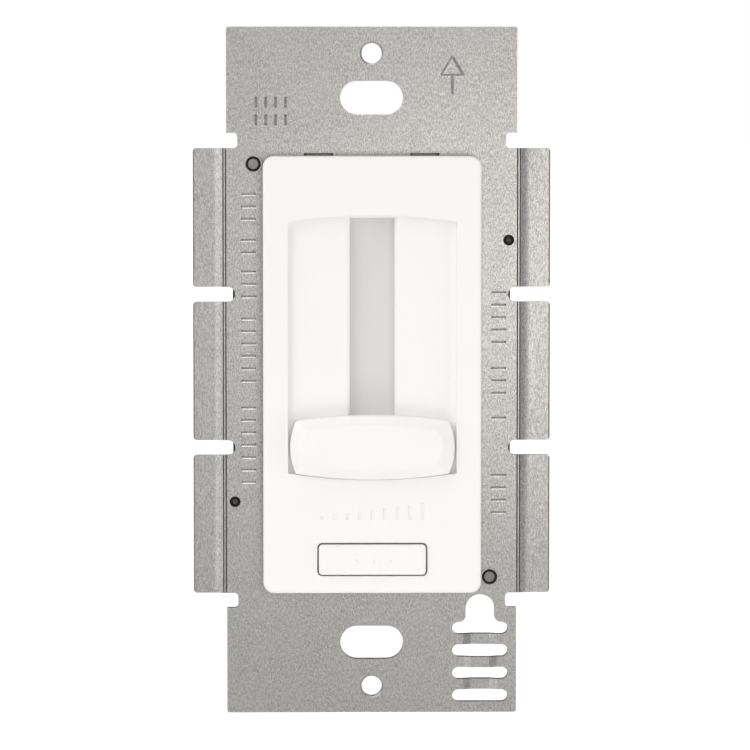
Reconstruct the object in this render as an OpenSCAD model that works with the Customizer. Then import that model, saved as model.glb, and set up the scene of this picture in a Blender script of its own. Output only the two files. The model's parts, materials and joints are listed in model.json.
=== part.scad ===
// Decorator-style slide dimmer: finned metal strap, white face with a sliding
// knob and a push button, and a plastic rear housing with the working parts.
// X is the width, +Z is up, the face looks along -Y. The strap's back is at y = 0.

/* [Strap] */
// Overall height of the strap
strap_h = 104.9; // [100:0.1:110]
// Width of the end plates, without the fins
strap_w = 44.3; // [43:0.1:46]
// Metal thickness
strap_t = 1.5; // [1.2:0.1:2]
// How far each break-off fin sticks out past the end plates
fin_reach = 5.1; // [4:0.1:7]
// Height of one fin
fin_h = 21.15; // [20:0.05:21.5]
// Gap between two fins
fin_gap = 2.3; // [2:0.1:3]
// Thickness of the fins, coined thinner than the plate
fin_t = 1.0; // [0.8:0.1:1.2]
// Spacing of the two slots for the device screws
device_pitch = 83.34; // [83:0.01:84]
// Length of a device-screw slot
device_slot_w = 9.6; // [8:0.1:11]
// Height of a device-screw slot
device_slot_h = 5.1; // [4.5:0.1:5.6]
// Spacing of the two wall-plate screw holes
plate_pitch = 96.84; // [96:0.01:98]
// Diameter of a wall-plate screw hole
plate_hole_d = 3.1; // [2.7:0.1:3.5]

/* [Face] */
// Width of the face
face_w = 33.1; // [32.6:0.1:33.4]
// Height of the face
face_h = 66.3; // [65.8:0.1:66.8]
// How far the face stands in front of the strap
face_proud = 5.8; // [5.5:0.1:6.5]
// Depth of the shallow recess that the knob slides in
recess_depth = 1.0; // [0.8:0.1:1.2]
// Width of the recess
recess_w = 25.5; // [25.3:0.1:26]
// Width of the slot behind the knob
slot_w = 6.8; // [6.4:0.1:7]

/* [Controls] */
// Width of the sliding knob
knob_w = 24.9; // [24:0.1:25]
// Height of the sliding knob at its middle
knob_h = 9.8; // [9:0.1:10]
// How far the knob stands in front of the face
knob_proud = 2.0; // [1.5:0.1:3]
// Travel of the knob, from dim at the bottom to bright at the top
slider_travel = 30; // [28:0.5:30]
// Width of the push button
button_w = 16.25; // [15:0.05:16.4]
// Height of the push button
button_h = 4.6; // [4:0.05:4.7]
// Travel of the push button
button_travel = 1.2; // [0.8:0.1:1.2]

/* [Housing] */
// Width of the housing behind its flange
housing_w = 40.4; // [40:0.1:40.8]
// Height of the housing behind its flange
housing_h = 66.8; // [66:0.1:67]
// Depth of the housing behind the strap
housing_d = 30; // [28:0.5:34]
// Wall thickness of the housing
housing_wall = 1.8; // [1.6:0.1:2]
// Diameter of the holes that the leads come out of
lead_hole_d = 3.6; // [3.2:0.1:4]

/* [Hidden] */
$fn = 48;

// Strap, worked out from the sizes above
strap_front = -strap_t;
fin_rows = 3;
fin_row_pitch = fin_h + fin_gap;
fins_h = fin_rows * fin_h + (fin_rows - 1) * fin_gap;
score_x = strap_w / 2;
fin_blend_w = 1.5;
fin_blend_lip = 0.05;
relief_depth = 1.7;
mark_depth = 0.22;
fin_slot_depth = 0.75;
plate_hole_burr = 0.25;

// Screws at two opposite corners, and the pegs at the other two sides
screw_at = [18.05, 31.6];
screw_r = 1.08;
screw_tip_r = 0.78;
screw_tip_hole_r = 1.18;
screw_tip_hole_depth = 1.2;
screw_burr = [0.2, 0.12];
peg_at = [20.9, 20];
peg_hole_r = 0.83;
peg_tip_r = 0.4;

// Ladder of slots at the lower right, where the ground lead is woven in
ladder_x = 16.6;
ladder_w = 8.5;
ladder_slot_h = 1.9;
ladder_top = -39.5;
ladder_pitch = 3.47;
ladder_slots = 4;
saddle_offset = 0.6;
saddle_flat = 1.4;
saddle_foot = 2.6;
dome_r = 2.2;
dome_z = -36.5;

// Face
face_front = strap_front - face_proud;
face_z = -0.31;
face_top = face_z + face_h / 2;
face_bottom = face_z - face_h / 2;
face_corner_r = 1.7;
face_base = strap_front - 0.05;
recess_floor = face_front + recess_depth;
face_wall_back = recess_floor + 1.2;
recess_top = 23.9;
recess_bottom = -16.2;
recess_sag = 1.03;
recess_z = (recess_top + recess_bottom) / 2;
recess_h = recess_top - recess_bottom;
slot_top = 23.5;
slot_bottom = -15.4;
hook_x = 8.1;
hook_w = 4.0;
hook_slot_w = 4.4;
hook_slot_h = 0.42;
hook_t = 0.7;
hook_catch = 0.5;

// Sliding knob and what moves with it, at the bottom of the travel
knob_gap = 0.1;
knob_z = recess_bottom + knob_gap + knob_h / 2;
knob_front = face_front - knob_proud;
knob_back = recess_floor - 0.15;
travel_z = knob_z + slider_travel / 2;
neck_w = 5.8;
neck_h = 6.0;
neck_front = face_front - 0.6;
plate_w = 12.4;
carriage_h = 7.2;
carriage_front = face_wall_back + 0.2;
strip_t = 0.6;
strip_front = carriage_front + 1.0;
strip_back = strip_front + strip_t;
strip_w = 8.2;
strip_top = 31;
strip_bottom = -20;
carriage_back = strip_back + 1.3;
rail_x = plate_w / 2 + 0.25;
lever_w = 4.0;
lever_t = 1.2;
lever_clear = 4.0;

// Circuit board and the levels of what stands on it
board_front = 9.0;
board_t = 1.6;
board_back = board_front + board_t;
board_w = 35.8;
board_h = 62.2;

// Slide potentiometer
fader_w = 9.0;
fader_l = slider_travel + 15;
fader_front = 2.4;
fader_shell = 0.5;
track_t = 0.8;
fader_pins = [-20.5, -16.5, 20.5];

// Push button and its switch
button_z = -28.3;
button_front = face_front - 0.6;
button_gap = 0.225;
button_flange_front = face_wall_back + 0.05;
button_flange_t = 0.8;
button_flange_back = button_flange_front + button_flange_t;
button_stem_r = 1.7;
button_stem_back = button_flange_back + 1.05;
plunger_r = 1.2;
plunger_hole_r = 1.6;
switch_w = 10.4;
switch_h = 5.8;
switch_front = 3.2;
switch_wall = 0.9;
contact_rest = 5.6;
contact_t = 0.3;
contact_face = contact_rest + contact_t + button_travel + 0.05;
contact_x = 2.7;

// Triac on the back of the strap
triac_x = 11.5;
triac_w = 10;
triac_bottom = 4;
triac_tab_h = 16;
triac_case_h = 9;
triac_tab_t = 1.3;
triac_case_t = 3.2;
triac_hole_z = triac_bottom + 13;
pad_t = 0.3;
triac_lead_pitch = 2.54;
triac_leads_z = 0.4;

// Indicator lamp behind the top of the light strip
led_z = 29;
led_r = 1.5;
led_lead_pitch = 2.54;

// Parts on the back of the board
choke_at = [-6.5, -11.5];
choke_r = 8.6;
choke_bore_r = 4.6;
choke_h = 8;
choke_front = board_back + 2.2;
choke_turns = 22;
wire_r = 0.45;
film_cap = [8, 12.5, 18];
film_cap_at = [11, -11];
timing_cap = [4, 9, 10];
timing_cap_at = [-12.5, 8.5];
varistor_r = 5;
varistor_t = 3.6;
varistor_at = [11.5, 9.5];
resistor_rows = [2.5, 6, 9.5];
resistor_x = -1;
resistor_l = 6.3;
resistor_r = 1.15;
axial_lift = 1.9;
lead_at = [-9, 0, 9];
lead_z = 22;

// Housing
flange_w = 42.4;
flange_h = 68;
flange_t = 2.4;
housing_back = housing_d;
cavity_back = housing_back - housing_wall;
notch_r = 3.0;
collar_r = 3.1;
collar_h = 1.2;
post_r = 1.6;
post_at = [15.6, 25];
housing_chamfer = 1.5;
cover_lip = [1.0, 1.5];
cover_seam = 0.4;
latch_at = 18;
latch_w = 4.6;
latch_from = cavity_back - 5;
latch_to = cavity_back - 3.2;
label = [27, 20];
label_z = -9;
label_depth = 0.3;

// Room that the board and the sheet leave round each screw notch
notch_clear = notch_r + housing_wall + 0.5;

// Insulating sheet against the back of the strap
sheet = [33, 60.5];

// Thickness of one layer of a rounded shape that is hulled from layers
layer_t = 0.03;

// ---- helpers ----

// Extrudes an outline drawn in X and Z between two values of Y
module slab(y_front, y_back) {
    translate([0, y_back, 0])
        rotate([90, 0, 0])
            linear_extrude(y_back - y_front)
                children();
}

module box(size_x, size_z) {
    square([size_x, size_z], center = true);
}

module rounded_box(w, h, r) {
    box(w - 2 * r, h);
    box(w, h - 2 * r);
    for (sx = [-1, 1], sz = [-1, 1])
        translate([sx * (w / 2 - r), sz * (h / 2 - r)])
            circle(r);
}

// Slot with round ends, along X
module pill(w, h) {
    box(w - h, h);
    for (s = [-1, 1])
        translate([s * (w - h) / 2, 0])
            circle(d = h);
}

// Stamped mark: a V-shaped groove in the strap's front, from one point to another
module stroke(from, to, w) {
    run = to - from;
    translate([from[0], strap_front, from[1]])
        rotate([0, -atan2(run[1], run[0]), 0])
            rotate([90, 0, 90])
                linear_extrude(norm(run))
                    polygon([[-0.01, -w / 2], [mark_depth, 0], [-0.01, w / 2]]);
}

// Peg or wire that runs along Y at a place in X and Z
module rod(at, r, y_front, y_back) {
    translate([at[0], y_back, at[1]])
        rotate([90, 0, 0])
            cylinder(r = r, h = y_back - y_front);
}

// The two opposite corners that hold a screw
module at_screws() {
    for (s = [-1, 1])
        translate([-s * screw_at[0], s * screw_at[1]])
            children();
}

// ---- strap ----

// The two scored grooves and the ridge between them, as [distance outward, depth]
score = [[0, 0], [0.1, 0.22], [0.2, fin_blend_lip], [0.4, fin_blend_lip], [0.5, 0.22], [0.6, fin_blend_lip]];

// Section of the strap's edge: plate, score, then the blend down to the thinner fin
function fin_section() = let (
    outer = strap_w / 2 + fin_reach,
    steps = 8,
    blend_x = score_x + score[len(score) - 1][0],
    blend_y = strap_front + fin_blend_lip
) concat(
    [[score_x - 1, 0], [score_x - 1, strap_front]],
    [for (p = score) [score_x + p[0], strap_front + p[1]]],
    [for (i = [1:steps]) let (t = i / steps)
        [blend_x + fin_blend_w * t, blend_y + (-fin_t - blend_y) * sin(90 * t)]],
    [[outer - 0.2, -fin_t], [outer, -fin_t + 0.2], [outer, 0]]
);

module fin_column() {
    intersection() {
        translate([0, 0, -fins_h / 2])
            linear_extrude(fins_h)
                polygon(fin_section());
        slab(strap_front - 1, 1)
            for (i = [0:fin_rows - 1])
                translate([score_x - 1, (i - 1) * fin_row_pitch])
                    fin_outline();
    }
}

module fin_outline() {
    w = fin_reach + strap_w / 2 - score_x + 1;
    r = 0.5;
    translate([0, -fin_h / 2])
        square([w - r, fin_h]);
    translate([0, r - fin_h / 2])
        square([w, fin_h - 2 * r]);
    for (s = [-1, 1])
        translate([w - r, s * (fin_h / 2 - r)])
            circle(r);
}

// Notches in the plate's edge: reliefs past the fins, and the ends of the gaps
module edge_notches() {
    for (s = [-1, 1]) {
        translate([strap_w / 2, s * (fins_h + fin_gap) / 2])
            rounded_box(2 * relief_depth, fin_gap, 0.6);
        translate([strap_w / 2, s * fin_row_pitch / 2])
            pill(2 * fin_slot_depth + fin_gap / 2, fin_gap);
    }
}

module ladder_openings() {
    for (i = [0:ladder_slots - 1])
        translate([0, ladder_top - i * ladder_pitch])
            pill(ladder_w, ladder_slot_h);
    translate([0, ladder_top - (ladder_slots - 1) * ladder_pitch / 2])
        box(2 * saddle_foot, (ladder_slots - 1) * ladder_pitch);
    translate([0, dome_z])
        circle(dome_r);
    translate([0, (dome_z + ladder_top) / 2])
        box(2 * dome_r, dome_z - ladder_top);
    for (s = [-1, 1])
        difference() {
            translate([s * (dome_r + 0.5), ladder_top + ladder_slot_h / 2 + 0.2])
                box(1.1, 1.1);
            translate([s * (dome_r + 1), ladder_top + ladder_slot_h / 2 + 1])
                circle(1);
        }
}

// Bridge between two slots of the ladder, bent out of the plate at its middle
module saddle(offset_y) {
    height = ladder_pitch - ladder_slot_h;
    far = saddle_foot + 0.2;
    translate([0, 0, -height / 2])
        linear_extrude(height)
            polygon([
                [-far, strap_front], [-saddle_foot, strap_front],
                [-saddle_flat, strap_front + offset_y], [saddle_flat, strap_front + offset_y],
                [saddle_foot, strap_front], [far, strap_front],
                [far, 0], [saddle_foot, 0],
                [saddle_flat, offset_y], [-saddle_flat, offset_y],
                [-saddle_foot, 0], [-far, 0]
            ]);
}

// Arrow that shows which way up the strap goes
module up_arrow() {
    apex = [12.3, 47.9];
    left = [10.6, 45.1];
    right = [14, 45.1];
    foot = [12.3, 42.2];
    w = 0.5;
    stroke(left, apex, w);
    stroke(apex, right, w);
    stroke(left, right, w);
    stroke([apex[0], left[1]], foot, w);
}

// Column of plain stamped ticks, in groups. Each group is [first z, ticks]
module tick_column(x, groups, pitch) {
    tick_l = 2.2;
    for (g = groups, i = [0:g[1] - 1])
        stroke([x - tick_l / 2, g[0] - i * pitch], [x + tick_l / 2, g[0] - i * pitch], 0.55);
}

module stamped_marks() {
    up_arrow();
    tick_column(-18.8, [[27, 3], [20, 2], [15.2, 3], [8, 6], [-5.6, 7]], 1.9);
    tick_column(19.4, [[12, 5], [0.4, 3], [-7.2, 1], [-16, 4]], 1.9);
    for (row = [41, 38.3], i = [0:3])
        stroke([-17.6 + i * 1.5, row - 0.8], [-17.6 + i * 1.5, row + 0.8], 0.5);
}

module plate_outline() {
    difference() {
        rounded_box(strap_w, strap_h, 0.4);
        for (side = [0, 1])
            mirror([side, 0])
                edge_notches();
    }
}

module strap_openings() {
    for (s = [-1, 1]) {
        translate([0, s * device_pitch / 2])
            pill(device_slot_w, device_slot_h);
        translate([0, s * plate_pitch / 2])
            circle(d = plate_hole_d);
        translate([s * peg_at[0], s * peg_at[1]])
            circle(peg_hole_r);
        for (edge = [face_top, face_bottom])
            translate([s * hook_x, edge + sign(edge) * (hook_slot_h - hook_t - 0.1) / 2])
                box(hook_slot_w, hook_slot_h + hook_t + 0.1);
    }
    at_screws()
        circle(screw_r + 0.02);
    translate([0, travel_z])
        rounded_box(2 * lever_clear, slider_travel + lever_t + 4, 1);
    translate([0, button_z])
        circle(plunger_hole_r);
    translate([0, led_z])
        circle(led_r + 0.2);
    translate([triac_x, triac_hole_z])
        circle(1.6);
    translate([ladder_x, 0])
        ladder_openings();
}

module strap() {
    color("silver") {
        difference() {
            union() {
                slab(strap_front, 0)
                    plate_outline();
                for (side = [0, 1])
                    mirror([side, 0, 0])
                        fin_column();
                slab(strap_front - screw_burr[1], strap_front + 0.5)
                    at_screws()
                        circle(screw_tip_hole_r + screw_burr[0]);
            }
            slab(strap_front - 1, 1)
                strap_openings();
            slab(strap_front - 1, strap_front + screw_tip_hole_depth)
                at_screws()
                    circle(screw_tip_hole_r);
            stamped_marks();
            for (s = [-1, 1])
                translate([0, strap_front - 0.01, s * plate_pitch / 2])
                    rotate([-90, 0, 0])
                        cylinder(d1 = plate_hole_d + 2 * plate_hole_burr, d2 = plate_hole_d, h = plate_hole_burr);
        }
        for (i = [0:ladder_slots - 2])
            translate([ladder_x, 0, ladder_top - (i + 0.5) * ladder_pitch])
                saddle(i == 1 ? -saddle_offset : saddle_offset);
    }
}

// ---- face ----

// Box whose top and bottom edges are shallow arcs and whose sides are straight
module arched_box(w, h, sag) {
    r = (w * w / 4 + sag * sag) / (2 * sag);
    intersection() {
        box(w, h);
        translate([0, h / 2 - r])
            circle(r, $fn = 360);
        translate([0, r - h / 2])
            circle(r, $fn = 360);
    }
}

// Face block with its corners and its front edge rounded
module face_block() {
    edge = [[face_base, 0], [face_front + 0.5, 0], [face_front + 0.22, 0.06], [face_front + 0.07, 0.2],
            [face_front, 0.48]];
    translate([0, 0, face_z])
        hull()
            for (e = edge)
                slab(e[0], e[0] + layer_t)
                    rounded_box(face_w - 2 * e[1], face_h - 2 * e[1], face_corner_r - e[1], $fn = 32);
}

module recess_cut() {
    slab(face_front - 0.5, recess_floor)
        translate([0, recess_z])
            arched_box(recess_w, recess_h, recess_sag);
}

// Slot for the knob's neck, with a chamfer along both of its long edges
module knob_slot_cut() {
    chamfer = 0.35;
    translate([0, 0, slot_bottom])
        linear_extrude(slot_top - slot_bottom)
            polygon([
                [-slot_w / 2 - chamfer - 0.2, recess_floor - 0.2], [slot_w / 2 + chamfer + 0.2, recess_floor - 0.2],
                [slot_w / 2, recess_floor + chamfer], [slot_w / 2, face_wall_back + 0.1],
                [-slot_w / 2, face_wall_back + 0.1], [-slot_w / 2, recess_floor + chamfer]
            ]);
}

// Plain bars that grow from left to right, the sign for dim to bright
module level_bars() {
    bars = 9;
    pitch = 1.9;
    tallest = 2.4;
    for (i = [0:bars - 1]) {
        h = 0.5 + (tallest - 0.5) * i / (bars - 1);
        translate([(i - (bars - 1) / 2) * pitch, -22.2 + h / 2])
            box(0.45, h);
    }
}

module face_hooks() {
    for (s = [-1, 1], edge = [face_top, face_bottom]) {
        out = sign(edge);
        slab(face_base - 0.5, 0.75)
            translate([s * hook_x, edge - out * hook_t / 2])
                box(hook_w, hook_t);
        slab(0.06, 0.75)
            translate([s * hook_x, edge + out * (hook_slot_h + hook_catch - hook_t) / 2])
                box(hook_w, hook_slot_h + hook_catch + hook_t);
    }
}

module face_frame() {
    cavity_w = face_w - 2.8;
    cavity_top = 31.6;
    cavity_bottom = -32.1;
    color("white") {
        difference() {
            face_block();
            recess_cut();
            knob_slot_cut();
            slab(face_wall_back, 0)
                translate([0, (cavity_top + cavity_bottom) / 2])
                    box(cavity_w, cavity_top - cavity_bottom);
            slab(face_front - 1, 0)
                translate([0, button_z])
                    rounded_box(button_w + 2 * button_gap, button_h + 2 * button_gap, 0.75);
            slab(face_front - 1, face_front + 0.12)
                level_bars();
        }
        face_rails();
        strip_holders();
        face_hooks();
    }
}

// Rails on the back of the face that keep the carriage straight
module face_rails() {
    for (s = [-1, 1])
        slab(face_wall_back - 0.1, carriage_back)
            translate([s * (rail_x + 0.5), travel_z])
                box(1, slider_travel + carriage_h + 1.2);
}

// Blocks that hold both ends of the light strip
module strip_holders() {
    for (span = [[24.6, 26.8], [-20.4, -17.2]])
        difference() {
            slab(face_wall_back - 0.1, strip_back + 0.9)
                translate([0, (span[0] + span[1]) / 2])
                    box(strip_w + 2.4, span[1] - span[0]);
            slab(strip_front - 0.03, strip_back + 0.03)
                translate([0, (span[0] + span[1]) / 2])
                    box(strip_w + 0.06, span[1] - span[0] + 1);
        }
}

// Pale strip behind the slot, lit from behind its top end
module light_strip() {
    color("gainsboro")
        slab(strip_front, strip_back)
            translate([0, (strip_top + strip_bottom) / 2])
                box(strip_w, strip_top - strip_bottom);
}

// ---- slider ----

// Outline of the knob: a box with rounded corners whose four edges bulge out
function barrel(w, h) = let (
    bulge_x = 0.65,
    bulge_z = 0.83,
    r = 0.7,
    half_w = w / 2 - bulge_x,
    half_h = h / 2 - bulge_z,
    edge_steps = 10,
    corner_steps = 5,
    edge = [for (i = [1:edge_steps - 1]) 2 * i / edge_steps - 1],
    turn = [for (i = [0:corner_steps]) 90 * i / corner_steps]
) concat(
    [for (a = turn) [half_w - r + r * cos(a), half_h - r + r * sin(a)]],
    [for (t = edge) [-(half_w - r) * t, half_h + bulge_z * (1 - t * t)]],
    [for (a = turn) [-half_w + r - r * sin(a), half_h - r + r * cos(a)]],
    [for (t = edge) [-half_w - bulge_x * (1 - t * t), -(half_h - r) * t]],
    [for (a = turn) [-half_w + r - r * cos(a), -half_h + r - r * sin(a)]],
    [for (t = edge) [(half_w - r) * t, -half_h - bulge_z * (1 - t * t)]],
    [for (a = turn) [half_w - r + r * sin(a), -half_h + r - r * cos(a)]],
    [for (t = edge) [half_w + bulge_x * (1 - t * t), (half_h - r) * t]]
);

// Solid through outlines of the same number of points, one for each Y
module loft(levels, outlines) {
    n = len(outlines[0]);
    last = len(levels) - 1;
    skin = [for (i = [0:last - 1], k = [0:n - 1])
        let (a = i * n, b = a + n, m = (k + 1) % n)
            each [[a + k, b + k, b + m], [a + k, b + m, a + m]]];
    caps = [[for (k = [0:n - 1]) k], [for (k = [0:n - 1]) last * n + n - 1 - k]];
    polyhedron(
        points = [for (i = [0:last], p = outlines[i]) [p[0], levels[i], p[1]]],
        faces = concat(skin, caps),
        convexity = 4
    );
}

module slider_knob() {
    bevel = [[knob_back, 0.2], [knob_back - 0.25, 0], [face_front - 0.75, 0], [face_front - 0.95, 0.08],
             [face_front - 1.1, 0.26], [knob_front + 0.16, 1.55], [knob_front + 0.04, 1.85], [knob_front, 2.2]];
    color("white")
        translate([0, 0, knob_z])
            difference() {
                loft([for (b = bevel) b[0]], [for (b = bevel) barrel(knob_w - 2 * b[1], knob_h - 1.5 * b[1])]);
                slab(neck_front - 0.05, knob_back + 1)
                    box(neck_w + 0.1, neck_h + 0.1);
                for (s = [-1, 1])
                    slab(face_front - 0.4, knob_back + 1)
                        translate([s * (knob_w / 4 + 0.9), 0])
                            box(knob_w / 2 - 6.2, knob_h - 4);
            }
}

// Carriage: neck in the knob, and a frame round the light strip to the lever
module slider_carriage() {
    strip_gap = 0.35;
    color("ivory")
        translate([0, 0, knob_z])
            difference() {
                union() {
                    slab(neck_front, carriage_front + 0.1)
                        box(neck_w, neck_h);
                    slab(carriage_front, carriage_back)
                        box(plate_w, carriage_h);
                }
                slab(strip_front - 0.2, strip_back + 0.2)
                    box(strip_w + 2 * strip_gap, carriage_h + 1);
                slab(strip_back, carriage_back + 1)
                    box(lever_w + 0.1, lever_t + 0.1);
            }
}

// ---- slide potentiometer ----

module fader_can() {
    inner_back = board_front - track_t;
    color("lightsteelblue")
        difference() {
            slab(fader_front, board_front)
                translate([0, travel_z])
                    box(fader_w, fader_l);
            slab(fader_front + fader_shell, board_front + 1)
                translate([0, travel_z])
                    box(fader_w - 2 * fader_shell, fader_l - 2 * fader_shell);
            slab(fader_front - 1, inner_back)
                translate([0, travel_z])
                    box(lever_w + 0.6, slider_travel + lever_t + 1);
        }
}

// Resistive track on its carrier, with the three pins into the board
module fader_track() {
    pin = [0.8, 0.5];
    color("saddlebrown") {
        slab(board_front - track_t, board_front - 0.02)
            translate([0, travel_z])
                box(fader_w - 2 * fader_shell - 0.1, fader_l - 2 * fader_shell - 0.1);
        for (z = fader_pins)
            slab(board_front - 0.3, board_back + 1)
                translate([0, travel_z + z])
                    box(pin[0], pin[1]);
    }
}

module fader_wiper() {
    block_back = board_front - track_t - 0.1;
    color("dimgray")
        translate([0, 0, knob_z]) {
            slab(block_back - 3, block_back)
                box(fader_w - 2 * fader_shell - 0.6, 6);
            slab(strip_back + 0.4, block_back - 2)
                box(lever_w, lever_t);
        }
}

// ---- push button and its switch ----

module push_button() {
    crown = [[button_front + 1.2, 0], [button_front + 0.3, 0], [button_front + 0.1, 0.08],
             [button_front, 0.3]];
    dot_pitch = 2.5;
    dot_r = 0.45;
    color("white") {
        difference() {
            union() {
                translate([0, 0, button_z])
                    hull()
                        for (c = crown)
                            slab(c[0], c[0] + layer_t)
                                rounded_box(button_w - 2 * c[1], button_h - 2 * c[1], 0.6 - c[1] / 2, $fn = 32);
                slab(button_front + 1, button_flange_back)
                    translate([0, button_z])
                        rounded_box(button_w, button_h, 0.6);
                slab(button_flange_front, button_flange_back)
                    translate([0, button_z])
                        box(button_w + 1.8, button_h + 1.8);
                rod([0, button_z], button_stem_r, button_flange_back - 0.1, button_stem_back);
            }
            rod([0, button_z], plunger_r + 0.02, button_stem_back - 0.7, button_stem_back + 1);
        }
        for (i = [-1:1])
            translate([i * dot_pitch, button_front + 0.13, button_z - 0.3])
                dot(dot_r);
    }
}

// Low round pip
module dot(r) {
    height = 0.3;
    sphere_r = (r * r + height * height) / (2 * height);
    translate([0, sphere_r - height, 0])
        intersection() {
            sphere(sphere_r);
            translate([0, -sphere_r, 0])
                cube([4 * r, 2 * height, 4 * r], center = true);
        }
}

// Ring of points round one place on a wire's path
function ring(at, side, up, r, sides) =
    [for (k = [0:sides - 1]) at + r * (side * cos(360 * k / sides) + up * sin(360 * k / sides))];

// Wire through a list of rings, closed at both ends
module wire(rings, sides) {
    n = len(rings);
    skin = [for (i = [0:n - 2], k = [0:sides - 1])
        let (a = i * sides, b = a + sides, m = (k + 1) % sides)
            each [[a + k, a + m, b + m], [a + k, b + m, b + k]]];
    ends = [[for (k = [0:sides - 1]) sides - 1 - k], [for (k = [0:sides - 1]) (n - 1) * sides + k]];
    polyhedron(points = [for (one = rings) each one], faces = concat(skin, ends), convexity = 6);
}

// Return spring, a coil between the button's flange and the strap
module button_spring() {
    coil_r = 2.55;
    thick_r = 0.2;
    turns = 3.5;
    steps = 18;
    total = turns * steps;
    start = button_flange_back + thick_r + 0.05;
    run = strap_front - thick_r - 0.05 - start;
    color("silver")
        translate([0, 0, button_z])
            wire([for (i = [0:total]) let (a = 360 * i / steps, out = [cos(a), 0, sin(a)])
                ring(coil_r * out + [0, start + run * i / total, 0], out, [0, 1, 0], thick_r, 8)], 8);
}

module switch_plunger() {
    color("black") {
        rod([0, button_z], plunger_r, button_stem_back - 0.65, contact_rest - 0.9);
        slab(contact_rest - 1.2, contact_rest)
            translate([0, button_z])
                box(6, 3.2);
    }
}

module moving_contact() {
    color("goldenrod")
        slab(contact_rest, contact_rest + contact_t)
            translate([0, button_z])
                pill(2 * contact_x + 2.2, 2.2);
}

module switch_housing() {
    color("darkslategray")
        difference() {
            slab(switch_front, board_front)
                translate([0, button_z])
                    box(switch_w, switch_h);
            slab(switch_front + switch_wall, board_front - switch_wall)
                translate([0, button_z])
                    box(switch_w - 2 * switch_wall, switch_h - 2 * switch_wall);
            rod([0, button_z], plunger_r + 0.1, switch_front - 1, switch_front + 2);
            for (s = [-1, 1])
                rod([s * contact_x, button_z], 0.52, board_front - 2, board_front + 1);
        }
}

// Two fixed contacts, each a rivet with a pin through the board
module fixed_contacts() {
    color("goldenrod")
        for (s = [-1, 1]) {
            rod([s * contact_x, button_z], 1, contact_face, board_front - switch_wall);
            rod([s * contact_x, button_z], 0.5, contact_face, board_back + 1);
        }
}

// ---- board and what is fixed to the strap ----

module board_outline(w, h, corner) {
    difference() {
        box(w, h);
        at_screws()
            circle(corner);
    }
}

module insulator_sheet() {
    color("beige")
        difference() {
            slab(0.1, 0.45)
                board_outline(sheet[0], sheet[1], notch_clear);
            slab(0, 1)
                translate([0, travel_z])
                    box(2 * lever_clear + 1, slider_travel + 6);
            slab(0, 1)
                translate([triac_x, triac_bottom + triac_tab_h / 2])
                    box(triac_w + 1.4, triac_tab_h + 1.4);
            slab(0, 1)
                translate([0, button_z])
                    circle(plunger_hole_r + 0.4);
            slab(0, 1)
                translate([0, led_z])
                    circle(led_r + 0.6);
        }
}

module circuit_board() {
    pin_r = 0.65;
    color("darkgreen")
        difference() {
            slab(board_front, board_back)
                board_outline(board_w, board_h, notch_clear);
            for (z = fader_pins)
                rod([0, travel_z + z], pin_r, board_front - 1, board_back + 1);
            for (s = [-1, 1])
                rod([s * contact_x, button_z], pin_r, board_front - 1, board_back + 1);
            for (i = [-1:1])
                rod([triac_x + i * triac_lead_pitch, triac_leads_z], pin_r, board_front - 1, board_back + 1);
            for (s = [-1, 1])
                rod([0, led_z + s * led_lead_pitch / 2], 0.4, board_front - 1, board_back + 1);
            for (x = lead_at)
                rod([x, lead_z], 1.1, board_front - 1, board_back + 1);
        }
}

// Metal tab of the triac, with its three legs bent back into the board
module triac_tab() {
    leg = [0.8, 0.5];
    leg_y = pad_t + triac_tab_t + 1;
    color("silver")
        difference() {
            union() {
                slab(pad_t, pad_t + triac_tab_t)
                    translate([triac_x, triac_bottom + triac_tab_h / 2])
                        box(triac_w, triac_tab_h);
                for (i = [-1:1]) {
                    x = triac_x + i * triac_lead_pitch;
                    slab(leg_y, leg_y + leg[1])
                        translate([x, (triac_leads_z + triac_bottom) / 2 - leg[1] / 4])
                            box(leg[0], triac_bottom - triac_leads_z + leg[1] / 2);
                    slab(leg_y, board_back + 1)
                        translate([x, triac_leads_z])
                            box(leg[0], leg[1]);
                }
                slab(pad_t + triac_tab_t - 0.1, leg_y + leg[1])
                    translate([triac_x, triac_bottom - 0.02])
                        box(leg[0], 0.5);
            }
            rod([triac_x, triac_hole_z], 1.8, -1, 4);
        }
}

module triac_case() {
    color("#202124")
        difference() {
            slab(pad_t + triac_tab_t, pad_t + triac_tab_t + triac_case_t)
                translate([triac_x, triac_bottom + 0.3 + triac_case_h / 2])
                    box(triac_w, triac_case_h);
            slab(pad_t + triac_tab_t + triac_case_t - 0.2, 8)
                translate([triac_x, triac_bottom + triac_case_h - 1])
                    circle(0.8);
        }
}

module thermal_pad() {
    color("lightblue")
        difference() {
            slab(0.02, pad_t - 0.02)
                translate([triac_x, triac_bottom + triac_tab_h / 2])
                    box(triac_w + 1, triac_tab_h + 1);
            rod([triac_x, triac_hole_z], 1.9, -1, 2);
        }
}

module triac_rivet() {
    head_r = 2.8;
    shank_r = 1.55;
    head_t = 0.8;
    tab_back = pad_t + triac_tab_t;
    color("lightgray") {
        rod([triac_x, triac_hole_z], shank_r, strap_front - 0.1, tab_back + 0.1);
        rod([triac_x, triac_hole_z], head_r, strap_front - head_t, strap_front - 0.02);
        rod([triac_x, triac_hole_z], head_r - 0.4, tab_back + 0.02, tab_back + head_t);
    }
}

module locator_led() {
    back = 2.4;
    straight = back - strap_front - 0.3;
    color("honeydew") {
        translate([0, back, led_z])
            rotate([90, 0, 0])
                rotate_extrude()
                    intersection() {
                        union() {
                            square([led_r, straight]);
                            square([led_r + 0.35, 0.8]);
                            translate([0, straight])
                                circle(led_r);
                        }
                        square(straight + 2 * led_r);
                    }
        for (s = [-1, 1])
            rod([0, led_z + s * led_lead_pitch / 2], 0.3, back - 0.2, board_back + 1);
    }
}

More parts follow.
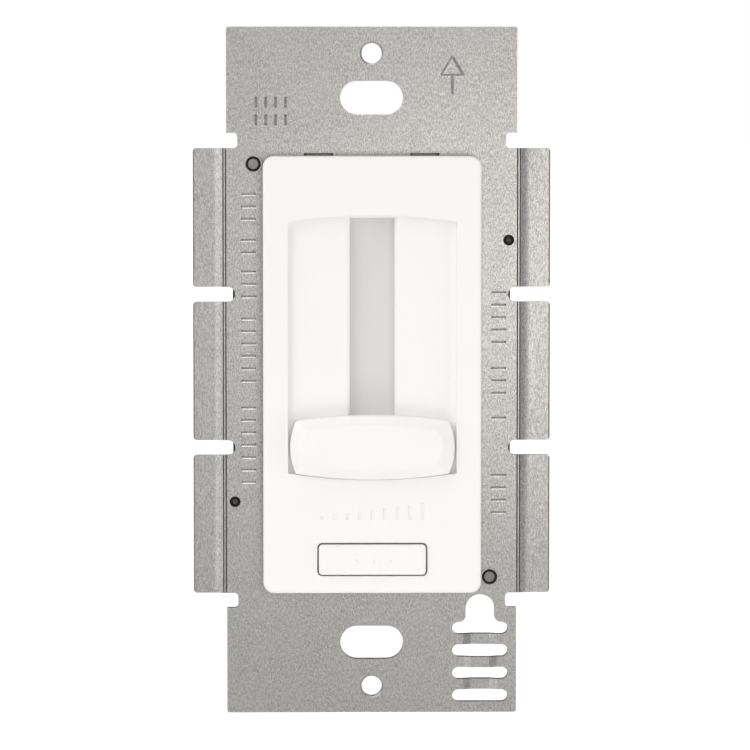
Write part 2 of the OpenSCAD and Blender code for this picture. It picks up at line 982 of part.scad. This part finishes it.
// ---- parts on the back of the board ----

module choke_core() {
    color("dimgray")
        difference() {
            rod(choke_at, choke_r, choke_front, choke_front + choke_h);
            rod(choke_at, choke_bore_r, choke_front - 1, choke_front + choke_h + 1);
        }
}

// Winding round the core. Its wire rises outside, crosses the back, drops
// through the bore and returns along the front; both ends stand on the board.
module choke_winding() {
    gap = wire_r + 0.12;
    mean = (choke_r + choke_bore_r) / 2;
    reach = (choke_r - choke_bore_r) / 2 + gap;
    rise = choke_h / 2 + gap;
    corners = [[1, -1], [1, 1], [-1, 1], [-1, -1]];
    last = choke_turns * 4 - 1;
    centre_y = choke_front + choke_h / 2;
    color("peru")
        translate([choke_at[0], centre_y, choke_at[1]])
            wire([for (i = [0:last]) let (
                    a = 330 * i / last,
                    out = [cos(a), 0, sin(a)],
                    c = corners[i % 4],
                    is_end = i == 0 || i == last,
                    y = is_end ? board_back + 0.02 - centre_y : rise * c[1])
                ring(out * (mean + reach * c[0]) + [0, y, 0], [-sin(a), 0, cos(a)],
                     out * c[0] + [0, is_end ? 0 : c[1], 0], wire_r, 6)], 6);
}

// Radial box capacitor standing on the board on two wires
module box_capacitor(at, size) {
    slab(board_back + 0.4, board_back + 0.4 + size[1])
        translate(at)
            rounded_box(size[0], size[2], 0.5);
    for (s = [-1, 1])
        rod([at[0], at[1] + s * (size[2] / 2 - 1.5)], 0.35, board_back, board_back + 1);
}

module film_capacitor() {
    color("goldenrod")
        box_capacitor(film_cap_at, film_cap);
}

module timing_capacitor() {
    color("steelblue")
        box_capacitor(timing_cap_at, timing_cap);
}

module varistor() {
    color("royalblue") {
        translate([varistor_at[0] - varistor_t / 2, board_back + 1.4 + varistor_r, varistor_at[1]])
            rotate([0, 90, 0])
                cylinder(r = varistor_r, h = varistor_t);
        for (s = [-1, 1])
            rod([varistor_at[0], varistor_at[1] + s * 2.5], 0.35, board_back, board_back + 4);
    }
}

// Axial part lying along X, with its wires bent down to the board
module axial(x, z, length, r) {
    wire = 0.3;
    span = length + 3;
    y = board_back + axial_lift;
    translate([x - length / 2, y, z])
        rotate([0, 90, 0])
            cylinder(r = r, h = length);
    translate([x - span / 2, y, z])
        rotate([0, 90, 0])
            cylinder(r = wire, h = span);
    for (s = [-1, 1])
        rod([x + s * span / 2, z], wire, board_back, y + wire);
}

module resistors() {
    color("tan")
        for (z = resistor_rows)
            axial(resistor_x, z, resistor_l, resistor_r);
}

module diac() {
    color("firebrick")
        axial(resistor_x, 13, 3.6, 0.9);
}

// Eyelets in the board that the three leads are soldered into
module lead_eyelets() {
    color("gold")
        for (x = lead_at)
            difference() {
                union() {
                    rod([x, lead_z], 1.08, board_front + 0.3, board_back + 0.1);
                    rod([x, lead_z], 1.7, board_back + 0.02, board_back + 1.6);
                }
                rod([x, lead_z], 0.8, board_front - 1, board_back + 3);
            }
}

// ---- housing ----

// Outline of the can, moved in by a distance, with its two screw notches
module housing_can(inset) {
    difference() {
        rounded_box(housing_w - 2 * inset, housing_h - 2 * inset, max(2 - inset, 0.3));
        at_screws()
            circle(notch_r + inset);
    }
}

// Section of the can, as wide as given, with its two rear edges chamfered
module chamfered_section(w) {
    c = housing_chamfer;
    polygon([
        [-w / 2, 0], [w / 2, 0], [w / 2, housing_back - c], [w / 2 - c, housing_back],
        [c - w / 2, housing_back], [-w / 2, housing_back - c]
    ]);
}

// End wall of the can, with its four rear edges chamfered
module chamfered_plate() {
    intersection() {
        slab(cavity_back + cover_seam, housing_back)
            housing_can(0);
        translate([0, 0, -housing_h / 2])
            linear_extrude(housing_h)
                chamfered_section(housing_w);
        translate([-housing_w / 2, 0, 0])
            rotate([0, 90, 0])
                linear_extrude(housing_w)
                    chamfered_section(housing_h);
    }
}

// A box on both long sides, at each of the cover's latches
module at_latches(x_inner, x_outer, y_front, y_back, w) {
    for (sx = [-1, 1], sz = [-1, 1])
        slab(y_front, y_back)
            translate([sx * (x_inner + x_outer) / 2, sz * latch_at])
                box(x_outer - x_inner, w);
}

// Sleeve of the housing: a flange against the strap and walls back to the cover
module rear_housing() {
    color("#2b2c2e") {
        difference() {
            union() {
                slab(0, flange_t) {
                    rounded_box(flange_w, flange_h, 1.5);
                    for (s = [-1, 1])
                        translate([s * peg_at[0], s * peg_at[1]])
                            circle(1.3);
                }
                slab(flange_t - 0.5, cavity_back)
                    housing_can(0);
            }
            slab(-1, cavity_back + 1)
                housing_can(housing_wall);
            slab(-1, flange_t + 1)
                at_screws()
                    circle(screw_r + 0.02);
            at_latches(housing_w / 2 - housing_wall - 1, housing_w / 2 + 1, latch_from - 0.1, latch_to + 0.1,
                       latch_w + 0.4);
            for (s = [-1, 1], edge = [face_top, face_bottom])
                slab(-1, 1.1)
                    translate([s * hook_x, edge + sign(edge)])
                        box(hook_w + 0.8, 5);
        }
        for (s = [-1, 1]) {
            rod([s * peg_at[0], s * peg_at[1]], peg_hole_r - 0.05, -0.4, 0.2);
            rod([s * peg_at[0], s * peg_at[1]], peg_tip_r, -1.2, 0.2);
        }
    }
}

// Cover that closes the sleeve. A lip and four latches hold it, and it carries
// the lead outlets and the posts behind the board.
module rear_cover() {
    lip_inset = housing_wall + 0.1;
    lip_x = housing_w / 2 - lip_inset;
    color("#2b2c2e") {
        difference() {
            union() {
                chamfered_plate();
                slab(cavity_back, cavity_back + cover_seam + 0.1)
                    housing_can(cover_seam);
                slab(cavity_back - cover_lip[1], cavity_back + 0.1)
                    housing_can(lip_inset);
                for (x = lead_at)
                    rod([x, lead_z], collar_r, cavity_back, housing_back + collar_h);
            }
            slab(0, cavity_back)
                housing_can(lip_inset + cover_lip[0]);
            slab(housing_back - label_depth, housing_back + 1)
                translate([0, label_z])
                    rounded_box(label[0], label[1], 1);
            for (x = lead_at)
                rod([x, lead_z], lead_hole_d / 2, cavity_back - 1, housing_back + collar_h + 1);
        }
        at_latches(lip_x - cover_lip[0], lip_x, latch_from - 1, cavity_back + 0.1, latch_w);
        at_latches(lip_x - 0.1, housing_w / 2 - 0.3, latch_from, latch_to, latch_w);
        for (sx = [-1, 1], sz = [-1, 1])
            rod([sx * post_at[0], sz * post_at[1]], post_r, board_back + 0.05, cavity_back + 0.1);
    }
}

module housing_screws() {
    head_r = 2;
    head_t = 1.6;
    color("silver")
        for (s = [-1, 1])
            let (at = [-s * screw_at[0], s * screw_at[1]])
                difference() {
                    union() {
                        rod(at, screw_tip_r, strap_front + 0.15, 0);
                        rod(at, screw_r, strap_front + screw_tip_hole_depth, flange_t + 0.1);
                        rod(at, head_r, flange_t + 0.02, flange_t + head_t);
                    }
                    for (turn = [0, 90])
                        translate([at[0], flange_t + head_t, at[1]])
                            rotate([0, turn, 0])
                                cube([2.4, 1.4, 0.5], center = true);
                }
}

strap();
face_frame();
light_strip();
slider_knob();
slider_carriage();
fader_can();
fader_track();
fader_wiper();
push_button();
button_spring();
switch_plunger();
switch_housing();
moving_contact();
fixed_contacts();
insulator_sheet();
circuit_board();
triac_tab();
triac_case();
thermal_pad();
triac_rivet();
choke_core();
choke_winding();
film_capacitor();
timing_capacitor();
varistor();
diac();
resistors();
locator_led();
lead_eyelets();
rear_housing();
rear_cover();
housing_screws();
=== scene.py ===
"""Looks of the slide dimmer: camera, light, floor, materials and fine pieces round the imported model."""

import json
import math

import bpy
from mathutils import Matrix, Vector


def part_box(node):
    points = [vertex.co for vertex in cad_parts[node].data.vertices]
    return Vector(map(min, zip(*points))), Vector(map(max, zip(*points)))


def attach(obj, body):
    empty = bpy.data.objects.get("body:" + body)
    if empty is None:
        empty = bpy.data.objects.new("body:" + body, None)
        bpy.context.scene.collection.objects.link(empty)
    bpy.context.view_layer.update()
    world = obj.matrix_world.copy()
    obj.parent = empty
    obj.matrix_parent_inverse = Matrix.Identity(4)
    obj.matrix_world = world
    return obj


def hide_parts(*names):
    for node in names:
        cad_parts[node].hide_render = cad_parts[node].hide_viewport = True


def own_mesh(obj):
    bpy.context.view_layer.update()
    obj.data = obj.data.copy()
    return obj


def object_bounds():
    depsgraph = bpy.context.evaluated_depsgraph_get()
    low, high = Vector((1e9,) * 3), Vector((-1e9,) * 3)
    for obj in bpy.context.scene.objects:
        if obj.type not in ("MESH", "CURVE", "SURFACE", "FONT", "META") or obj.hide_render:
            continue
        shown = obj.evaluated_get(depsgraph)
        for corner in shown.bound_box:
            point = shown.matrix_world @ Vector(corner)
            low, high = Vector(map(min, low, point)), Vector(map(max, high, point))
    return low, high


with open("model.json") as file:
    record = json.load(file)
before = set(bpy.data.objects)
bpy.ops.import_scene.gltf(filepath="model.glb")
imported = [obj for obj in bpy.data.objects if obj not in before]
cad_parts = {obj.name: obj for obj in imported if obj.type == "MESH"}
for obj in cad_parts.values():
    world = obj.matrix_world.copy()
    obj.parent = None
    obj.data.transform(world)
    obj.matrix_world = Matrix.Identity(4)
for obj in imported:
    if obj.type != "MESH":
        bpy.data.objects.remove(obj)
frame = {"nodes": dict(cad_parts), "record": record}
cad_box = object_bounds()

# Camera: almost straight on, a little to the left and above, with a long lens
AZIMUTH = math.radians(-1.0)
ELEVATION = math.radians(3.6)
LENS = 200
SENSOR = 36
VIEW_WIDTH = 0.11455
AIM = Vector((0.0005, -0.0015, -0.0006))

# Floor: well below the part, which hangs free as it does on a wall
FLOOR_DROP = 0.20
FLOOR_RADIUS = 40
FLOOR_CORNERS = 64
FLOOR_GLOW_FROM = (0.25, 0.90)
FLOOR_GLOW = (0.60, 0.95)

# World: how its light changes from behind the part to the front of it
WORLD_GLOW_FROM = (0.2, -1.0)
WORLD_GLOW = (0.08, 0.50)
WHITE = (1, 1, 1, 1)

# Rays that a material spends on finding edges and corners
EDGE_SAMPLES = 4
CORNER_SAMPLES = 6

# Wires of the two wound pieces, given by their radius, and the steps along one turn
TUBE_SIDES = 12
SPRING_WIRE = 0.0002
SPRING_TURNS = 3.5
SPRING_STEPS = 36
CHOKE_WIRE = 0.00045
CHOKE_TURNS = 22
CHOKE_STEPS = 24
CHOKE_BORE = 0.0046
CHOKE_GAP = 0.00012
CHOKE_SPREAD = math.radians(330)


class Nodes:
    """Short names for making the nodes of one tree."""

    def __init__(self, tree):
        self.tree = tree

    def node(self, kind, inputs=None, **settings):
        """A new node with its inputs set or linked, and its own settings."""
        made = self.tree.nodes.new(kind)
        for key, value in settings.items():
            setattr(made, key, value)
        for key, value in (inputs or {}).items():
            self.feed(made.inputs[key], value)
        return made

    def feed(self, socket, value):
        """Links another node's output to a socket, or sets the socket to a constant."""
        if isinstance(value, bpy.types.NodeSocket):
            self.tree.links.new(value, socket)
        else:
            socket.default_value = value

    def remap(self, value, low, high, to_low=0.0, to_high=1.0):
        """The value from one range brought to another, and clamped to it."""
        inputs = {
            "Value": value,
            "From Min": low,
            "From Max": high,
            "To Min": to_low,
            "To Max": to_high,
        }
        return self.node("ShaderNodeMapRange", inputs).outputs["Result"]


class Graph(Nodes):
    """The nodes of one material."""

    def __init__(self, name):
        self.material = bpy.data.materials.new(name)
        self.material.use_nodes = True
        super().__init__(self.material.node_tree)
        self.shader = self.tree.nodes["Principled BSDF"]
        self.place = self.node("ShaderNodeTexCoord").outputs["Object"]

    def stretched(self, stretch):
        """Coordinates in metres, squeezed so that a texture runs long along an axis."""
        mapping = self.node("ShaderNodeMapping", {"Vector": self.place, "Scale": stretch})
        return mapping.outputs["Vector"]

    def noise(self, grain, detail=2.0, stretch=(1, 1, 1), seed=0.0):
        """Noise from 0 to 1 whose grains are about the given size in metres."""
        inputs = {
            "Vector": self.stretched(stretch),
            "W": seed,
            "Scale": 1 / grain,
            "Detail": detail,
        }
        return self.node("ShaderNodeTexNoise", inputs, noise_dimensions="4D").outputs["Fac"]

    def math(self, operation, first, second):
        """One arithmetic step on two values."""
        return self.node("ShaderNodeMath", {0: first, 1: second}, operation=operation).outputs[0]

    def blend(self, share, first, second):
        """The first colour where the share is 0, and the second where it is 1."""
        mix = self.node("ShaderNodeMix", data_type="RGBA")
        self.feed(mix.inputs["Factor"], share)
        self.feed(mix.inputs["A"], first)
        self.feed(mix.inputs["B"], second)
        return mix.outputs["Result"]

    def edges(self, radius):
        """1 on edges rounder than the flat surface round them, 0 elsewhere."""
        soft = self.node("ShaderNodeBevel", {"Radius": radius}, samples=EDGE_SAMPLES).outputs["Normal"]
        hard = self.node("ShaderNodeNewGeometry").outputs["Normal"]
        likeness = self.node("ShaderNodeVectorMath", {0: soft, 1: hard}, operation="DOT_PRODUCT")
        return self.remap(likeness.outputs["Value"], 0.99, 0.80)

    def painted_crevice_shade(self, reach):
        """Mask for painted shade: 1 in corners and grooves that little light gets into, 0 on open
        surfaces.
        """
        shadow = self.node("ShaderNodeAmbientOcclusion", {"Distance": reach}, samples=CORNER_SAMPLES)
        return self.remap(shadow.outputs["AO"], 0.72, 0.30)

    def bump(self, height, distance, under=None):
        """Fine relief of the given depth in metres, on top of another normal if there is one."""
        inputs = {"Height": height, "Distance": distance, "Strength": 1.0}
        if under is not None:
            inputs["Normal"] = under
        return self.node("ShaderNodeBump", inputs).outputs["Normal"]

    def rounded(self, radius):
        """Normal that makes sharp edges catch the light as if they had this radius."""
        return self.node("ShaderNodeBevel", {"Radius": radius}, samples=EDGE_SAMPLES).outputs["Normal"]

    def set(self, **sockets):
        """Sets or links the shader's own sockets, written with _ for a space."""
        for name, value in sockets.items():
            self.feed(self.shader.inputs[name.replace("_", " ")], value)
        return self.material


def shade(colour, factor):
    """The colour made lighter or darker, and opaque."""
    return (*(min(1.0, c * factor) for c in colour[:3]), 1.0)


# ---- materials, one function for each family ----


def sheet_metal(name, colour):
    """Rolled and tumbled aluminium: fine speckle, faint upright streaks, edges lighter from wear and from
    a painted highlight, and painted shade in its grooves.
    """
    g = Graph(name)
    rough = 0.38
    speckle = g.noise(0.00013)
    streaks = g.noise(0.00015, stretch=(1, 1, 0.25), seed=3.0)
    clouds = g.noise(0.0035, detail=4.0, seed=7.0)
    fleck = g.noise(0.00030, detail=1.0, seed=11.0)
    grain = g.math("ADD", g.math("MULTIPLY", speckle, 0.55), g.math("MULTIPLY", streaks, 0.45))
    tone = g.blend(g.remap(grain, 0.41, 0.59), shade(colour, 0.62), shade(colour, 1.26))
    tone = g.blend(g.remap(clouds, 0.40, 0.65, 0.0, 0.20), tone, shade(colour, 1.12))
    tone = g.blend(g.remap(fleck, 0.66, 0.74, 0.0, 0.40), tone, shade(colour, 0.45))
    # Edges lighter: partly worn metal, partly a painted highlight
    wear_and_highlight = g.edges(0.00015)
    tone = g.blend(g.math("MULTIPLY", wear_and_highlight, 0.50), tone, shade(colour, 1.2))
    # Painted shade: grooves and corners darkened almost to black where little light gets in
    tone = g.blend(g.math("MULTIPLY", g.painted_crevice_shade(0.0012), 0.9), tone, shade(colour, 0.05))
    finish = g.math("SUBTRACT", g.remap(grain, 0.3, 0.7, rough + 0.06, rough - 0.06),
                    g.math("MULTIPLY", wear_and_highlight, 0.08))
    normal = g.bump(grain, 0.000010, under=g.rounded(0.00006))
    return g.set(Base_Color=tone, Metallic=1.0, Roughness=finish, Normal=normal)


def smooth_metal(name, colour, rough=0.25, tone_down=1.0):
    """Plated or drawn metal with faint draw marks and a thin tarnish, painted shade in its corners and a
    painted highlight on its edges.
    """
    g = Graph(name)
    colour = shade(colour, tone_down)
    marks = g.noise(0.0003, detail=3.0)
    tarnish = g.noise(0.0025, detail=4.0, seed=5.0)
    tone = g.blend(g.remap(tarnish, 0.35, 0.7), shade(colour, 1.05), shade(colour, 0.78))
    # Painted highlight: edges lighter, as if catching the light
    tone = g.blend(g.math("MULTIPLY", g.edges(0.0001), 0.5), tone, shade(colour, 1.3))
    # Painted shade: corners and grooves darkened almost to black where little light gets in
    tone = g.blend(g.math("MULTIPLY", g.painted_crevice_shade(0.0012), 0.9), tone, shade(colour, 0.05))
    finish = g.remap(marks, 0.3, 0.7, rough - 0.05, rough + 0.12)
    normal = g.bump(marks, 0.000006, under=g.rounded(0.00008))
    return g.set(Base_Color=tone, Metallic=1.0, Roughness=finish, Normal=normal)


def gloss_plastic(name, colour, rough=0.34):
    """Injection-moulded satin plastic: a hint of flow shading and of orange peel."""
    g = Graph(name)
    flow = g.noise(0.012)
    peel = g.noise(0.0009, detail=1.0, seed=2.0)
    dust = g.noise(0.00022, seed=9.0)
    tone = g.blend(g.remap(flow, 0.3, 0.7), shade(colour, 0.993), shade(colour, 1.004))
    tone = g.blend(g.remap(dust, 0.74, 0.82, 0.0, 0.10), tone, shade(colour, 0.93))
    # Painted highlight: edges a little lighter, as if catching the light
    tone = g.blend(g.math("MULTIPLY", g.edges(0.0002), 0.25), tone, shade(colour, 1.03))
    finish = g.remap(peel, 0.3, 0.7, rough - 0.02, rough + 0.03)
    normal = g.bump(peel, 0.000002, under=g.rounded(0.00010))
    return g.set(Base_Color=tone, Roughness=finish, Normal=normal, IOR=1.49)


def matte_plastic(name, colour, rough=0.55, depth=0.00002):
    """Spark-eroded moulding texture with edges paler from rubbing and from a painted highlight."""
    g = Graph(name)
    texture = g.noise(0.00045, detail=4.0)
    patches = g.noise(0.010, detail=3.0, seed=4.0)
    tone = g.blend(g.remap(patches, 0.3, 0.7), shade(colour, 0.85), shade(colour, 1.15))
    tone = g.blend(g.remap(texture, 0.35, 0.7, 0.0, 0.5), tone, shade(colour, 1.35))
    # Edges paler: partly rubbed, partly a painted highlight
    tone = g.blend(g.math("MULTIPLY", g.edges(0.00025), 0.45), tone, shade(colour, 2.2))
    finish = g.remap(texture, 0.3, 0.7, rough - 0.08, rough + 0.10)
    normal = g.bump(texture, depth, under=g.rounded(0.00025))
    return g.set(Base_Color=tone, Roughness=finish, Normal=normal, IOR=1.5)


def diffuser_plastic(name, colour):
    """Frosted milky strip with a soft depth, and a faint painted glow that evens out its shading."""
    g = Graph(name)
    milk = g.noise(0.004, detail=3.0, stretch=(1, 1, 0.4))
    frost = g.noise(0.00025, seed=6.0)
    # Base colour lowered to make room for the painted glow below
    tone = g.blend(g.remap(milk, 0.3, 0.7), shade(colour, 0.60), shade(colour, 0.62))
    finish = g.remap(frost, 0.3, 0.7, 0.50, 0.60)
    normal = g.bump(frost, 0.000002)
    # Painted light: a faint glow, though the strip is no lamp
    return g.set(Base_Color=tone, Roughness=finish, Normal=normal,
                 Emission_Color=(1.0, 0.99, 0.97, 1), Emission_Strength=0.26)


def fibre_sheet(name, colour):
    """Pressed fibre or resin-bonded paper, with fibres both ways."""
    g = Graph(name)
    across = g.noise(0.0004, detail=4.0, stretch=(0.12, 1, 1))
    upright = g.noise(0.0004, detail=4.0, stretch=(1, 1, 0.12), seed=8.0)
    fibres = g.math("ADD", g.math("MULTIPLY", across, 0.5), g.math("MULTIPLY", upright, 0.5))
    tone = g.blend(g.remap(fibres, 0.35, 0.65), shade(colour, 0.78), shade(colour, 1.15))
    finish = g.remap(fibres, 0.3, 0.7, 0.55, 0.75)
    return g.set(Base_Color=tone, Roughness=finish, Normal=g.bump(fibres, 0.00001))


def glassy(name, colour):
    """Clear resin or glass body with a faint tint and ripple."""
    g = Graph(name)
    ripple = g.noise(0.0012, detail=1.0)
    tone = g.blend(g.remap(ripple, 0.3, 0.7), shade(colour, 0.95), shade(colour, 1.05))
    finish = g.remap(ripple, 0.3, 0.7, 0.04, 0.10)
    return g.set(Base_Color=tone, Roughness=finish, Normal=g.bump(ripple, 0.000008),
                 Transmission_Weight=0.7, IOR=1.52)


FINISHES = {
    "strap_metal": (sheet_metal, {}),
    "white_plastic": (gloss_plastic, {}),
    "strip_plastic": (diffuser_plastic, {}),
    "inner_plastic": (matte_plastic, {"depth": 0.000008}),
    "plated_steel": (smooth_metal, {"rough": 0.30}),
    "track_board": (fibre_sheet, {}),
    "dark_plastic": (matte_plastic, {"rough": 0.50, "depth": 0.00001}),
    "spring_steel": (smooth_metal, {"rough": 0.22}),
    "contact_brass": (smooth_metal, {"rough": 0.22}),
    "fish_paper": (fibre_sheet, {}),
    "board_laminate": (fibre_sheet, {}),
    "pad_rubber": (matte_plastic, {"rough": 0.70}),
    "rivet_metal": (smooth_metal, {"rough": 0.32}),
    "ferrite": (matte_plastic, {"rough": 0.60}),
    "copper_wire": (smooth_metal, {"rough": 0.25}),
    "film_plastic": (gloss_plastic, {"rough": 0.35}),
    "varistor_coat": (gloss_plastic, {"rough": 0.30}),
    "diac_glass": (glassy, {}),
    "resistor_coat": (gloss_plastic, {"rough": 0.40}),
    "led_plastic": (glassy, {}),
    "housing_plastic": (matte_plastic, {"rough": 0.50}),
    "screw_steel": (smooth_metal, {"rough": 0.35, "tone_down": 0.65}),
}


def make_materials():
    """One material for each slot in the record, in the colour that the record gives it."""
    made = {}
    for entry in frame["record"]["materials"]:
        family, settings = FINISHES[entry["slot"]]
        made[entry["slot"]] = family(entry["slot"], entry["base_color"], **settings)
    return made


def dress_nodes(materials):
    """Gives every CAD node the material that its slot names in the record."""
    for part in frame["record"]["subparts"]:
        for slot in frame["nodes"][part["node"]].material_slots:
            slot.material = materials[part["material_slot"]]


# ---- wound pieces, finer than their CAD solids ----


def tube(name, path, radius, material):
    """Round wire through a list of points, closed at both ends."""
    points = []
    side = Vector((0, 1, 0))
    for i, place in enumerate(path):
        along = (path[min(i + 1, len(path) - 1)] - path[max(i - 1, 0)]).normalized()
        if abs(side.dot(along)) > 0.9:
            side = along.orthogonal()
        side = (side - along * side.dot(along)).normalized()
        across = along.cross(side)
        for k in range(TUBE_SIDES):
            turn = 2 * math.pi * k / TUBE_SIDES
            points.append(place + radius * (side * math.cos(turn) + across * math.sin(turn)))
    last_ring = len(points) - TUBE_SIDES
    faces = []
    for ring in range(0, last_ring, TUBE_SIDES):
        for k in range(TUBE_SIDES):
            after = (k + 1) % TUBE_SIDES
            faces.append((ring + k, ring + after, ring + TUBE_SIDES + after, ring + TUBE_SIDES + k))
    faces.append(tuple(reversed(range(TUBE_SIDES))))
    faces.append(tuple(range(last_ring, len(points))))
    mesh = bpy.data.meshes.new(name)
    mesh.from_pydata(points, [], faces)
    mesh.shade_smooth()
    mesh.materials.append(material)
    piece = bpy.data.objects.new(name, mesh)
    bpy.context.scene.collection.objects.link(piece)
    return piece


def make_spring(material):
    """Return spring of the button: a coil of wire in the place of its CAD solid, which it replaces."""
    low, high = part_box("button_spring")
    centre = (low + high) / 2
    coil_r = (high.x - low.x) / 2 - SPRING_WIRE
    run = high.y - low.y - 2 * SPRING_WIRE
    count = round(SPRING_TURNS * SPRING_STEPS)
    path = []
    for i in range(count + 1):
        turn = 2 * math.pi * SPRING_TURNS * i / count
        y = low.y + SPRING_WIRE + run * i / count
        path.append(Vector((centre.x + coil_r * math.cos(turn), y, centre.z + coil_r * math.sin(turn))))
    spring = tube("return_spring_coil", path, SPRING_WIRE, material)
    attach(spring, "base")
    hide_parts("button_spring")
    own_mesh(spring)


def squared(share):
    """Pushes a sine or cosine towards 1 or -1, so that a circle becomes a rounded square."""
    return math.copysign(abs(share) ** 0.2, share) if abs(share) > 1e-9 else 0.0


def make_winding(material):
    """Copper winding with rounded turns close round the core, and its two legs on the board."""
    low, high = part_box("choke_core")
    centre = (low + high) / 2
    outer_r = (high.x - low.x) / 2
    mean = (outer_r + CHOKE_BORE) / 2
    reach = (outer_r - CHOKE_BORE) / 2 + CHOKE_WIRE + CHOKE_GAP
    rise = (high.y - low.y) / 2 + CHOKE_WIRE + CHOKE_GAP
    count = round((CHOKE_TURNS - 0.5) * CHOKE_STEPS)

    def place(i, y):
        phase = 2 * math.pi * i / CHOKE_STEPS
        spread = CHOKE_SPREAD * i / count
        radial = mean + reach * squared(math.cos(phase))
        return Vector((centre.x + radial * math.cos(spread), y, centre.z + radial * math.sin(spread)))

    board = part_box("choke_winding")[0].y
    path = [place(i, centre.y + rise * squared(math.sin(2 * math.pi * i / CHOKE_STEPS)))
            for i in range(count + 1)]
    path = [place(0, board)] + path + [place(count, board)]
    winding = tube("choke_copper_turns", path, CHOKE_WIRE, material)
    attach(winding, "base")
    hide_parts("choke_winding")


# ---- camera, light and floor ----


def direction(azimuth, elevation):
    """Unit vector from the part towards something seen at that azimuth and elevation."""
    return Vector((
        math.sin(azimuth) * math.cos(elevation),
        -math.cos(azimuth) * math.cos(elevation),
        math.sin(elevation),
    ))


def make_camera():
    """Long lens, from as far away as it takes for VIEW_WIDTH at the aim to fill the picture."""
    data = bpy.data.cameras.new("camera")
    data.lens = LENS
    data.sensor_width = SENSOR
    camera = bpy.data.objects.new("camera", data)
    back = direction(AZIMUTH, ELEVATION)
    camera.location = AIM + back * (VIEW_WIDTH * LENS / SENSOR)
    camera.rotation_euler = back.to_track_quat("Z", "Y").to_euler()
    bpy.context.scene.collection.objects.link(camera)
    bpy.context.scene.camera = camera


def soft_light(name, azimuth, elevation, distance, size, watts, colour=(1, 1, 1), mirrored=True):
    """Square soft box that looks at the part, and that shiny surfaces may mirror."""
    data = bpy.data.lights.new(name, "AREA")
    data.size = size
    data.energy = watts
    data.color = colour
    light = bpy.data.objects.new(name, data)
    towards = direction(math.radians(azimuth), math.radians(elevation))
    light.location = towards * distance
    light.rotation_euler = towards.to_track_quat("Z", "Y").to_euler()
    light.visible_camera = False
    light.visible_glossy = mirrored
    bpy.context.scene.collection.objects.link(light)


def make_lights():
    """Soft boxes by azimuth and elevation in degrees, distance and size in metres, and watts."""
    soft_light("key_left", -50, 32, 0.60, 0.35, 1.10)
    soft_light("fill_left", -80, 0, 0.60, 0.35, 0.5, mirrored=False)
    soft_light("top", -10, 72, 0.60, 0.35, 0.8)
    soft_light("fill_right", 70, -5, 0.60, 0.35, 1.1, (1.0, 0.98, 0.95), mirrored=False)
    soft_light("fill_low", 0, -50, 0.30, 0.25, 0.34, mirrored=False)
    soft_light("glare_left", -36, 0, 0.50, 0.35, 0.20)
    soft_light("glare_right", 9, 1, 0.25, 0.06, 0.030, (1.0, 0.96, 0.92))
    soft_light("glare_side", 28, -3, 0.50, 0.20, 0.07, (1.0, 0.97, 0.94))
    soft_light("back_right", 140, 15, 0.80, 0.40, 1.6)
    soft_light("back_left", -140, 25, 0.80, 0.40, 0.9)


def make_floor():
    """Pale paper that fades to white in the distance. The glow is only seen, and lights nothing."""
    mesh = bpy.data.meshes.new("floor")
    turns = [2 * math.pi * i / FLOOR_CORNERS for i in range(FLOOR_CORNERS)]
    ring = [(FLOOR_RADIUS * math.cos(turn), FLOOR_RADIUS * math.sin(turn), 0) for turn in turns]
    mesh.from_pydata(ring, [], [tuple(range(FLOOR_CORNERS))])
    floor = bpy.data.objects.new("floor", mesh)
    floor.location.z = cad_box[0].z - FLOOR_DROP
    bpy.context.scene.collection.objects.link(floor)
    g = Graph("floor_paper")
    tone = g.blend(g.noise(0.5), (0.90, 0.90, 0.90, 1), (0.94, 0.94, 0.94, 1))
    distance = g.node("ShaderNodeVectorMath", {0: g.place}, operation="LENGTH").outputs["Value"]
    seen = g.node("ShaderNodeLightPath").outputs["Is Camera Ray"]
    glow = g.math("MULTIPLY", g.remap(distance, *FLOOR_GLOW_FROM, *FLOOR_GLOW), seen)
    mesh.materials.append(g.set(Base_Color=tone, Roughness=0.9, Emission_Color=WHITE,
                                Emission_Strength=glow))


def make_world():
    """White towards the camera; as a light it is bright in front and dim behind the part."""
    world = bpy.data.worlds.new("studio")
    world.use_nodes = True
    world.node_tree.nodes.clear()
    g = Nodes(world.node_tree)
    place = g.node("ShaderNodeTexCoord").outputs["Generated"]
    depth = g.node("ShaderNodeSeparateXYZ", {"Vector": place}).outputs["Y"]
    glow = g.remap(depth, *WORLD_GLOW_FROM, *WORLD_GLOW)
    lit = g.node("ShaderNodeBackground", {"Color": WHITE, "Strength": glow}).outputs[0]
    seen = g.node("ShaderNodeBackground", {"Color": WHITE}).outputs[0]
    is_seen = g.node("ShaderNodeLightPath").outputs["Is Camera Ray"]
    mix = g.node("ShaderNodeMixShader", {0: is_seen, 1: lit, 2: seen}).outputs[0]
    g.node("ShaderNodeOutputWorld", {"Surface": mix})
    bpy.context.scene.world = world


make_camera()
make_lights()
make_floor()
make_world()
bpy.context.scene.view_settings.view_transform = "Standard"
materials = make_materials()
dress_nodes(materials)
make_spring(materials["spring_steel"])
make_winding(materials["copper_wire"])
